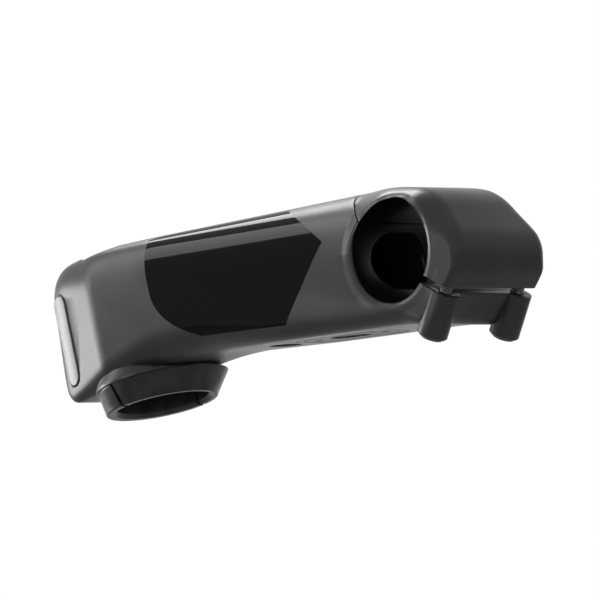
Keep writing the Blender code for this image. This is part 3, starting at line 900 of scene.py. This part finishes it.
# ---- body ---------------------------------------------------------------------------
@dataclass
class Body:
    """Forged body: steerer clamp, hollow extension, jaw and bosses."""

    layout: Layout = LAYOUT
    shell: Shell = SHELL
    ear: float = 0.0040
    slit: float = 0.0020
    pinch_spacing: float = 0.0180
    pinch_head: float = 0.0034
    pinch_shank: float = 0.0020
    cap_head: float = 0.0035
    cap_shank: float = 0.0020
    boss_round: float = 0.0006
    boss_root: float = 0.0015
    head_lead: float = 0.0003
    seam: float = 0.0002
    seat_radius: float = 0.0166
    seat_drop: float = 0.0016
    top_chamfer: float = 0.0005
    tunnel: Pair = (0.0240, 0.0180)
    tunnel_drop: float = 0.0010
    cover: Triple = (0.0300, 0.0076, 0.0028)
    cover_proud: float = 0.0004
    plate: Triple = (0.0420, 0.0170, 0.0022)
    plate_centre: float = 0.0905
    screw_spacing: float = 0.0290
    screw_hole: Pair = (0.0018, 0.0070)
    hatch: Triple = (0.0150, 0.0100, 0.0180)
    port_centre: float = 0.0610
    port_radius: float = 0.0045
    port_depth: float = 0.020
    port_lead: Pair = (0.0005, 0.006)

    def plate_frame(self, height: float = 0.0) -> Matrix:
        """Frame on the underside at the channel cover: X along, Z down and out."""
        lay = self.layout
        half = self.plate[0] / 2
        places = (self.plate_centre - half, self.plate_centre + half)
        ends = [lay.stem_point(place, -lay.depth(place)) for place in places]
        along = (ends[1] - ends[0]).normalized()
        out = along.cross(Vector((0, 1, 0)))
        out = -out if out.z > 0 else out
        matrix = Matrix((along, out.cross(along), out)).transposed().to_4x4()
        matrix.translation = (ends[0] + ends[1]) / 2 + out * height
        return matrix

    def screw_places(self) -> list[tuple[str, Matrix]]:
        """Word and frame of each screw of the channel cover."""
        half = self.screw_spacing / 2
        return [(word, self.plate_frame() @ Matrix.Translation((shift, 0, 0)))
                for word, shift in (("rear", -half), ("front", half))]

    def _port(self) -> Matrix:
        """Frame at the port's mouth, Z out of the underside."""
        lay = self.layout
        return Bench.frame_on(lay.stem_point(self.port_centre, -lay.depth(self.port_centre)), -lay.up)

    def _jaw(self) -> Steps:
        """Bosses, the cap's space and the bolt holes."""
        lay = self.layout
        foot = lay.boss_foot
        top = lay.jaw_top + self.boss_root
        boss = [(0, foot), (lay.boss_radius - self.boss_round, foot),
                (lay.boss_radius, foot + self.boss_round), (lay.boss_radius, top), (0, top)]
        for side in Side:
            yield Step.JOIN, Bench.turned(boss, 64, lay.bolt_frame(side))
        yield Step.CUT, cap_zone(lay, lay.gap + self.seam, lay.split_gap)
        wide = self.cap_head + lay.gap
        narrow = self.cap_shank + lay.gap
        seat = lay.head_seat + lay.washer + 2 * lay.gap
        hole = [(0, foot - PAST), (wide + self.head_lead + PAST, foot - PAST),
                (wide, foot + self.head_lead), (wide, seat), (narrow, seat),
                (narrow, lay.jaw_top + PAST), (0, lay.jaw_top + PAST)]
        for side in Side:
            yield Step.CUT, Bench.turned(hole, 48, lay.bolt_frame(side))

    def _channel(self) -> Steps:
        """Hose tunnel, plate seat, hatch, screw holes and port."""
        lay = self.layout
        turn = Matrix((Vector((0, 1, 0)), lay.up, lay.along)).transposed().to_4x4()
        turn.translation = lay.stem_point(0, -self.tunnel_drop)
        yield Step.CUT, Bench.plate(*self.tunnel, lay.stem_length, turn)
        length, width, height = self.plate
        gap = 2 * lay.gap
        yield Step.CUT, Bench.plate(length + gap, width + gap, WIDE,
                                    self.plate_frame(-height - lay.gap))
        length, width, depth = self.hatch
        yield Step.CUT, Bench.plate(length, width, depth + PAST, self.plate_frame(-depth))
        radius, depth = self.screw_hole
        for _, place in self.screw_places():
            yield Step.CUT, Bench.turned(rod_outline(radius, -depth, PAST), 24, place)
        radius = self.port_radius + lay.gap
        lead, flare = self.port_lead
        port = [(0, -self.port_depth), (radius, -self.port_depth), (radius, -lead),
                (self.port_radius + lead + flare, flare), (0, flare)]
        yield Step.CUT, Bench.turned(port, 64, self._port())

    def _clamp(self) -> Steps:
        """Steerer bore, slit, cover seats and pinch holes."""
        lay = self.layout
        bore, chamfer = lay.bore_radius, self.top_chamfer
        seat = lay.crown - self.seat_drop
        far = 0.02
        flare = bore + far + lay.neck_base + chamfer
        outline = [(0, -far), (flare, -far), (bore, lay.neck_base + chamfer),
                   (bore, seat - chamfer), (bore + chamfer, seat), (self.seat_radius, seat),
                   (self.seat_radius, seat + far), (0, seat + far)]
        yield Step.CUT, Bench.turned(outline, 96, Matrix())
        slit_front = -bore - 0.001
        slit_rear = -lay.tail_length - 0.007
        size = (slit_front - slit_rear, self.slit, 0.09)
        yield Step.CUT, Bench.box(size, Vector(((slit_front + slit_rear) / 2, 0, lay.pinch_mid)))
        length, width, height = self.cover
        gap = 2 * lay.gap
        for side in Side:
            place = lay.flank(side, self.cover_proud - height - lay.gap)
            yield Step.CUT, Bench.plate(length + gap, width + gap, 0.012, place)
        floor = self.slit / 2 + self.ear
        deep = 0.014
        wide = self.pinch_head + lay.gap
        hole = stepped((wide, -deep, -floor), (self.pinch_shank + lay.gap, -floor, floor),
                       (wide, floor, deep))
        for rise in (self.pinch_spacing / 2, -self.pinch_spacing / 2):
            centre = Vector((-lay.pinch_rear, 0, lay.pinch_mid + rise))
            yield Step.CUT, Bench.turned(hole, 48, Bench.frame_on(centre, Vector((0, 1, 0))))

    def _neck(self) -> Mesh:
        """Round neck under the box of the body; it narrows upward inside the box."""
        lay = self.layout
        round_off = 0.0003
        wall = 0.0010
        shoulder = lay.base + 0.0006
        top = lay.base + 0.010
        outline = [(0, lay.neck_base), (lay.neck_radius - round_off, lay.neck_base),
                   (lay.neck_radius, lay.neck_base + round_off), (lay.neck_radius, shoulder),
                   (lay.bore_radius + wall, top), (0, top)]
        return Bench.turned(outline, 96, Matrix())

    def build(self, paint: Material) -> None:
        """Make the body and dress it."""
        body = Bench.thing("body_forging", self.shell.mesh())
        Bench.carve(body, [(Step.JOIN, self._neck())])
        Bench.carve(body, self._jaw())
        Bench.carve(body, self._channel())
        Bench.carve(body, self._clamp())
        Bench.carve(body, [(Step.CUT, bar_cutter(self.layout))])
        Bench.soften(body, EDGE)
        Bench.dress(body, paint, "stem", "body_paint", ["stem_body"])


@dataclass
class Cap:
    """Upper half of the bar clamp."""

    layout: Layout = LAYOUT
    shell: Shell = SHELL
    thread_radius: float = 0.0023
    thread_depth: float = 0.0108
    thread_lead: float = 0.0006
    thread_mouth: Pair = (0.0034, -0.004)

    def build(self, paint: Material) -> None:
        """Make the cap and dress it."""
        lay = self.layout
        cap = Bench.thing("cap_forging", self.shell.mesh())
        Bench.carve(cap, [(Step.KEEP, cap_zone(lay, 0.0, 0.0))])
        flare, low = self.thread_mouth
        hole = [(0, low), (self.thread_radius + flare, low),
                (self.thread_radius, lay.split_level + self.thread_lead),
                (self.thread_radius, self.thread_depth), (0, self.thread_depth)]
        Bench.carve(cap, [(Step.CUT, Bench.turned(hole, 32, lay.bolt_frame(side)))
                          for side in Side])
        Bench.carve(cap, [(Step.CUT, bar_cutter(lay))])
        Bench.soften(cap, EDGE)
        Bench.dress(cap, paint, "bar_cap", "cap_paint", ["bar_cap"])


# ---- hardware -----------------------------------------------------------------------
@dataclass(frozen=True)
class BoltSize:
    """Sizes of a socket-head fastener; the shank runs up Z from the head's underside."""

    head_radius: float
    head_height: float
    shank_radius: float
    length: float
    key: float
    pitch: float = 0.0007
    round_off: float = 0.00035
    edge: float = 0.00008

    def outline(self) -> list[Pair]:
        """Half profile with a rounded head and a threaded shank."""
        points: list[Pair] = [(0.0, -self.head_height)]
        points += rounded_foot(self.head_radius, self.round_off, -self.head_height)
        brim = 0.0001
        points += [(self.head_radius, -brim), (self.head_radius - brim, 0.0), (self.shank_radius, 0.0)]
        root = self.shank_radius - self.pitch * 0.45 * 0.7
        level = self.pitch
        while level < self.length - self.pitch:
            points += [(self.shank_radius, level), (root, level + self.pitch / 2)]
            level += self.pitch
        return points + [(self.shank_radius - 0.0003, self.length), (0.0, self.length)]

    def build(self, name: str, place: Matrix, steel: Material, body: str,
              node: str) -> Thing:
        """Make the fastener.

        Args:
            name: the piece's name.
            place: frame at the head's underside.
            steel: its finish.
            body: the CAD body it rides on.
            node: the CAD node it stands for.

        Returns:
            The piece.
        """
        bolt = Bench.thing(name, Bench.turned(self.outline(), 64, place))
        corner = self.key / math.sqrt(3)
        floor = -self.head_height * 0.45
        lead, past, narrowing = 0.00025, 0.001, 0.0004
        mouth = -self.head_height - past
        tip = -self.head_height + lead + narrowing
        key = Bench.turned(rod_outline(corner, mouth, floor), 6, place)
        cone = Bench.turned([(0, mouth), (corner + lead + past, mouth),
                             (corner - narrowing, tip), (0, tip)], 64, place)
        Bench.carve(bolt, [(Step.CUT, key), (Step.CUT, cone)])
        Bench.soften(bolt, self.edge)
        return Bench.dress(bolt, steel, body, "bolt_steel", [node])


@dataclass
class Hardware:
    """Bolts, washers, nuts and screws."""

    body: Body
    thread_depth: float = 0.0105
    washer_bore: float = 0.0023
    screw: BoltSize = BoltSize(0.0042, 0.0012, 0.0015, 0.0048, 0.0025, 0.0005)

    def _ring(self, name: str, outer: float, height: float, place: Matrix, steel: Material) -> None:
        """Ring with chamfered corners, standing for the CAD node of the same place."""
        inner = self.washer_bore
        cut = min(0.00012, height * 0.2)
        outline = [(inner, cut), (inner + cut, 0), (outer - cut, 0), (outer, cut),
                   (outer, height - cut), (outer - cut, height), (inner + cut, height),
                   (inner, height - cut)]
        ring = Bench.thing(name + "_ring", Bench.turned(outline, 64, place))
        Bench.dress(ring, steel, "stem", "bolt_steel", [name])

    def _socket_bolt(self, head_radius: float, length: float) -> BoltSize:
        """Size of a socket-head bolt of the clamps."""
        return BoltSize(head_radius, self.body.layout.head_height, self.body.cap_shank, length, 0.0030)

    def cap_bolts(self, steel: Callable[[str, Matrix], Material]) -> None:
        """Two bolts up through the bosses, each on a washer."""
        lay = self.body.layout
        size = self._socket_bolt(self.body.cap_head, self.thread_depth - lay.head_seat)
        for side in Side:
            place = lay.bolt_frame(side, lay.head_seat)
            name = f"cap_bolt_{side.word}"
            size.build(name + "_fine", place, steel(name, place), name, name)
            above = place @ Matrix.Translation((0, 0, lay.gap))
            self._ring(f"cap_washer_{side.word}", self.body.cap_head, lay.washer, above,
                       steel(f"washer_{side.word}", above))

    def pinch_bolts(self, steel: Callable[[str, Matrix], Material]) -> None:
        """Two bolts across the slit, entering from opposite sides."""
        lay = self.body.layout
        radius = self.body.pinch_head
        floor = self.body.slit / 2 + self.body.ear
        size = self._socket_bolt(radius, 2 * floor + 0.0050)
        for side, word, sign in ((Side.RIGHT, "upper", 1), (Side.LEFT, "lower", -1)):
            z = lay.pinch_mid + sign * self.body.pinch_spacing / 2
            across = Vector((0, -side.value, 0))
            seat = Vector((-lay.pinch_rear, side.value * (floor + lay.gap + lay.washer), z))
            place = Bench.frame_on(seat, across)
            finish = steel(f"pinch_{word}", place)
            self._ring(f"pinch_washer_{word}", radius, lay.washer, place, finish)
            head = Bench.frame_on(seat - across * lay.gap, across)
            name = f"pinch_bolt_{word}"
            size.build(name + "_fine", head, finish, name, name)
            rest = Vector((-lay.pinch_rear, -side.value * (floor + lay.gap), z))
            self._ring(f"pinch_nut_{word}", radius, lay.head_height, Bench.frame_on(rest, across),
                       finish)

    def cover_screws(self, steel: Callable[[str, Matrix], Material]) -> None:
        """Two low-head screws of the channel cover."""
        for word, at in self.body.screw_places():
            place = (at @ Matrix.Translation((0, 0, -self.screw.head_height))
                     @ Matrix.Rotation(math.pi, 4, "X"))
            name = f"cover_screw_{word}"
            self.screw.build(name + "_fine", place, steel(name, place), name, name)


# ---- covers and collar --------------------------------------------------------------
@dataclass
class Covers:
    """Push-in bolt covers, channel cover and port plug."""

    body: Body
    plug_radius: float = 0.0045
    plug_height: float = 0.0040
    plug_recess: float = 0.0012
    screw_seat: Pair = (0.0045, 0.0015)
    pressed: Triple = (0.0150, 0.0090, 0.0005)

    def bolt_covers(self, rubber: Material) -> None:
        """Rubber inserts over the pinch bolts."""
        length, width, height = self.body.cover
        for side in Side:
            place = self.body.layout.flank(side, self.body.cover_proud - height)
            name = f"bolt_cover_{side.word}"
            insert = Bench.thing(name + "_fine", Bench.plate(length, width, height, place, 28))
            Bench.soften(insert, 0.00050, 4)
            Bench.dress(insert, rubber, name, "rubber", [name])

    def channel_cover(self, paint: Material) -> None:
        """Plate with two countersunk screw seats and a shallow pressed panel."""
        length, width, height = self.body.plate
        blank = Bench.plate(length, width, height, self.body.plate_frame(-height), 32)
        plate = Bench.thing("channel_cover_fine", blank)
        radius, sink = self.screw_seat
        hole = stepped((self.body.screw_hole[0], -2 * PAST, -sink), (radius, -sink, 0.003))
        steps = [(Step.CUT, Bench.turned(hole, 64, place)) for _, place in self.body.screw_places()]
        length, width, depth = self.pressed
        steps.append((Step.CUT, Bench.plate(length, width, 0.003, self.body.plate_frame(-depth))))
        Bench.carve(plate, steps)
        Bench.soften(plate, 0.00022)
        Bench.dress(plate, paint, "channel_cover", "cover_alloy", ["channel_cover"])

    def port_plug(self, rubber: Material) -> None:
        """Round plug with a crossed slit."""
        lay = self.body.layout
        radius, height = self.plug_radius, self.plug_height
        centre = self.body.port_centre
        rise = self.plug_recess + height
        place = Bench.frame_on(lay.stem_point(centre, -lay.depth(centre) + rise), -lay.up)
        brim, lip = 0.0012, 0.0004
        outline = [(0, 0), (radius - 0.0003, 0), (radius, lip), (radius, height - 0.0006),
                   (radius - 0.0005, height), (radius - brim, height),
                   (radius - brim - 0.0003, height - lip), (0, height - lip)]
        plug = Bench.thing("port_plug_fine", Bench.turned(outline, 64, place))
        floor = place @ Matrix.Translation((0, 0, height - brim))
        turns = [floor @ Matrix.Rotation(turn, 4, "Z") for turn in (0.3, 0.3 + math.pi / 2)]
        Bench.carve(plug, [(Step.CUT, Bench.plate(0.0048, 0.0005, 0.003, turn, 6)) for turn in turns])
        Bench.soften(plug, 0.00012)
        Bench.dress(plug, rubber, "port_plug", "rubber", ["port_plug"])


@dataclass
class Collar:
    """Split ring under the neck; the outside leans forward towards its top."""

    layout: Layout = LAYOUT
    bottom_radius: float = 0.0181
    top_radius: float = 0.0210
    lead: float = 0.0018
    trail: float = -0.0007
    split: float = 0.0014
    chamfer: float = 0.0012
    round_off: float = 0.0005

    def _outline(self) -> list[Pair]:
        """Closed half profile of the ring, the bore first."""
        height = self.layout.collar_height
        bore = self.layout.bore_radius + self.layout.gap
        points: list[Pair] = [(bore, height), (bore, self.chamfer), (bore + self.chamfer, 0.0)]
        points += rounded_foot(self.bottom_radius, self.round_off, 0.0)
        for share in (0.25, 0.5, 0.75, 0.93, 1.0):
            radius = self.bottom_radius + (self.top_radius - self.bottom_radius) * share
            points.append((radius, self.round_off + (height - self.round_off) * share))
        return points

    def build(self, plastic: Material) -> None:
        """Make both halves and dress them."""
        for word, sign in (("front", 1), ("rear", -1)):
            bm = Bench.turned(self._outline(), 160, Matrix())
            for vert in bm.verts:
                if math.hypot(vert.co.x, vert.co.y) > self.bottom_radius - 0.0012:
                    rise = max(0.0, vert.co.z - self.round_off)
                    share = rise / (self.layout.collar_height - self.round_off)
                    vert.co.x += self.trail + (self.lead - self.trail) * share
            cut = bmesh.ops.bisect_plane(bm, geom=bm.verts[:] + bm.edges[:] + bm.faces[:],
                                         dist=Bench.SAME, plane_co=(sign * self.split / 2, 0, 0),
                                         plane_no=(sign, 0, 0), clear_inner=True)
            rim = [item for item in cut["geom_cut"] if isinstance(item, bmesh.types.BMEdge)]
            bmesh.ops.holes_fill(bm, edges=rim)
            bmesh.ops.recalc_face_normals(bm, faces=bm.faces[:])
            half = Bench.thing(f"collar_{word}_fine", bm)
            Bench.soften(half, 0.00022)
            Bench.dress(half, plastic, f"collar_{word}", "collar_plastic", [f"collar_{word}"])


# ---- studio -------------------------------------------------------------------------
@dataclass(frozen=True)
class Softbox:
    """Rectangular lamp: direction and distance from the stem, size and power."""

    name: str
    toward: Triple
    distance: float
    size: Pair
    watts: float


SOFTBOXES = (
    Softbox("side strip", (-0.68, -0.37, 0.63), 1.1, (0.26, 1.10), 6.0),
    Softbox("overhead softbox", (-0.42, 0.24, 0.87), 1.2, (0.50, 0.50), 9.0),
    Softbox("flank softbox", (-0.30, -0.93, 0.20), 1.4, (0.60, 0.60), 2.6),
    Softbox("tail softbox", (-0.97, -0.20, 0.16), 1.1, (0.36, 0.36), 5.0),
)


@dataclass
class Studio:
    """Floor, backdrop light, softboxes and camera."""

    floor_level: float = -1.60
    aim: Vector = field(default_factory=lambda: Vector((0.09714, -0.02927, 0.00547)))
    climb: float = math.radians(16.8)
    swing: float = math.radians(45.6)
    distance: float = 1.9
    lens: float = 376.2

    def axes(self) -> tuple[Vector, Vector, Vector]:
        """Camera's right, up and backward directions."""
        right = Vector((math.cos(self.climb) * math.cos(self.swing), math.sin(self.swing),
                        -math.sin(self.climb) * math.cos(self.swing)))
        up = Vector((math.sin(self.climb), 0, math.cos(self.climb)))
        return right, up, right.cross(up)

    def camera(self) -> None:
        """Place the camera low on the right, behind the stem."""
        data = bpy.data.cameras.new("camera")
        data.lens = self.lens
        data.sensor_width = 36.0
        data.clip_end = 20.0
        made = bpy.data.objects.new("camera", data)
        bpy.context.scene.collection.objects.link(made)
        right, up, back = self.axes()
        matrix = Matrix((right, up, back)).transposed().to_4x4()
        matrix.translation = self.aim + back * self.distance
        made.matrix_world = matrix
        bpy.context.scene.camera = made

    def lamp(self, softbox: Softbox) -> None:
        """Put up a softbox that faces the stem."""
        data = bpy.data.lights.new(softbox.name, "AREA")
        data.shape = "RECTANGLE"
        data.size, data.size_y = softbox.size
        data.energy = softbox.watts
        way = Vector(softbox.toward).normalized()
        made = bpy.data.objects.new(softbox.name, data)
        bpy.context.scene.collection.objects.link(made)
        made.matrix_world = Bench.frame_on(self.aim + way * softbox.distance, way)
        made.visible_camera = False

    def world(self, level: float = 0.60) -> None:
        """White for the camera and in reflections, softer as light."""
        world = bpy.data.worlds.new("studio")
        world.use_nodes = True
        tree = world.node_tree
        path = tree.nodes.new("ShaderNodeLightPath")
        share = path.outputs["Is Camera Ray"]
        for kind in ("Is Glossy Ray", "Is Transmission Ray"):
            either = tree.nodes.new("ShaderNodeMath")
            either.operation = "MAXIMUM"
            tree.links.new(share, either.inputs[0])
            tree.links.new(path.outputs[kind], either.inputs[1])
            share = either.outputs[0]
        strength = tree.nodes.new("ShaderNodeMapRange")
        strength.inputs["To Min"].default_value = level
        strength.inputs["To Max"].default_value = 1.0
        tree.links.new(share, strength.inputs["Value"])
        shade = tree.nodes["Background"]
        shade.inputs["Color"].default_value = (1.0, 1.0, 1.0, 1.0)
        tree.links.new(strength.outputs[0], shade.inputs["Strength"])
        bpy.context.scene.world = world

    def floor(self) -> None:
        """Pale round floor, below the camera."""
        bm = bmesh.new()
        bmesh.ops.create_circle(bm, cap_ends=True, radius=12.0, segments=96)
        made = Bench.thing("floor", bm)
        made.location.z = self.floor_level
        graph = Graph("pale floor")
        tone = graph.noise(graph.place(), 0.05, 3.0)
        pale = graph.blend(tone, (0.80, 0.80, 0.80), (0.84, 0.84, 0.84))
        made.data.materials.append(graph.finish({"Base Color": pale, "Roughness": 0.7}))

    def build(self) -> None:
        """Put up the whole studio."""
        self.world()
        self.floor()
        self.camera()
        for softbox in SOFTBOXES:
            self.lamp(softbox)
        bpy.context.scene.view_settings.view_transform = "Standard"


# ---- finishes on this stem ----------------------------------------------------------
@dataclass(frozen=True)
class SweptPanel:
    """Plain gloss panel over the sides and crown of the extension, with swept ends."""

    rear: float = 0.024
    rear_level: float = 0.030
    rear_bow: float = 46.0
    front: Pair = (0.0794, 0.0027)
    front_lean: float = 1.126
    foot: Pair = (0.041, 0.0107)
    foot_fall: float = 0.208
    brow: Pair = (0.055, 0.047)
    brow_bow: float = 11.2
    edge: float = 0.00010

    def __call__(self, graph: Graph) -> Field:
        """Mask of the panel.

        Args:
            graph: the material's graph.

        Returns:
            1 inside the panel, 0 outside.
        """
        x, _, z = graph.axes(graph.place())
        below = (self.rear_level - z).above_zero()
        ahead = (x - self.brow[0]).above_zero()
        bounds = (x - self.rear - below * below * self.rear_bow,
                  self.front[0] + (z - self.front[1]) * self.front_lean - x,
                  z - self.foot[1] + (x - self.foot[0]) * self.foot_fall,
                  self.brow[1] - z - ahead * ahead * self.brow_bow)
        inside = bounds[0].ramp(-self.edge, self.edge)
        for bound in bounds[1:]:
            inside = inside * bound.ramp(-self.edge, self.edge)
        return inside


@dataclass(frozen=True)
class BoreMouth:
    """Bar bore: a soft ridge round its mouths, and painted shade that darkens its wall."""

    centre: Vector = field(default_factory=lambda: LAYOUT.bar)
    wall: float = LAYOUT.bar_radius
    skin: Pair = (0.0004, 0.0001)
    inner: float = 0.0164
    crest: float = 0.0176
    outer: float = 0.0205

    def _reach(self, graph: Graph) -> Field:
        """Distance from the bar's axis."""
        x, _, z = graph.axes(graph.place(at=tuple(self.centre)))
        return (x * x + z * z).power(0.5)

    def ridge(self, graph: Graph) -> Field:
        """Height of the ridge, 1 at its crest."""
        reach = self._reach(graph)
        return reach.ramp(self.inner, self.crest) * reach.ramp(self.outer, self.crest)

    def inside(self, graph: Graph) -> Field:
        """Mask of the painted shade: 1 on the bore's wall, 0 outside it."""
        return self._reach(graph).ramp(self.wall + self.skin[0], self.wall + self.skin[1])


class Workshop:
    """Finishes, made once and shared."""

    def __init__(self) -> None:
        """Make the shared finishes."""
        # body and cap paint both carry the bore's bump ridge and painted shade on the bore's wall
        self.body = SatinPaint("body paint", panel=SweptPanel(), bore=BoreMouth()).material()
        self.cap = SatinPaint("cap paint", bore=BoreMouth()).material()
        self.plate = SatinPaint("cover paint", roughness=0.36).material()
        self.rubber = SoftBlack("rubber").material()
        self.insert = SoftBlack("insert rubber", (0.030, 0.030, 0.031), (0.07, 0.07, 0.072), 0.26,
                                specular=0.22, depth=0.00001).material()
        self.plastic = SoftBlack("collar plastic", (0.012, 0.012, 0.013), (0.040, 0.040, 0.042), 0.30,
                                 grain=0.0005, depth=0.00002, specular=0.20).material()
        self._steels: dict[str, Material] = {}

    def steel(self, name: str, place: Matrix) -> Material:
        """Black steel whose turning marks run round the given frame."""
        if name not in self._steels:
            self._steels[name] = BlackSteel(f"steel {name}", tuple(place.to_euler()),
                                            tuple(place.translation)).material()
        return self._steels[name]


def main() -> None:
    """Build the scene in order."""
    logging.basicConfig(level=logging.INFO, format="%(name)s: %(message)s")
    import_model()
    shop = Workshop()
    body = Body()
    body.build(shop.body)
    Cap().build(shop.cap)
    hardware = Hardware(body)
    hardware.cap_bolts(shop.steel)
    hardware.pinch_bolts(shop.steel)
    hardware.cover_screws(shop.steel)
    covers = Covers(body)
    covers.bolt_covers(shop.insert)
    covers.channel_cover(shop.plate)
    covers.port_plug(shop.rubber)
    Collar().build(shop.plastic)
    Studio().build()
    bpy.context.view_layer.update()


if __name__ == "__main__":
    main()
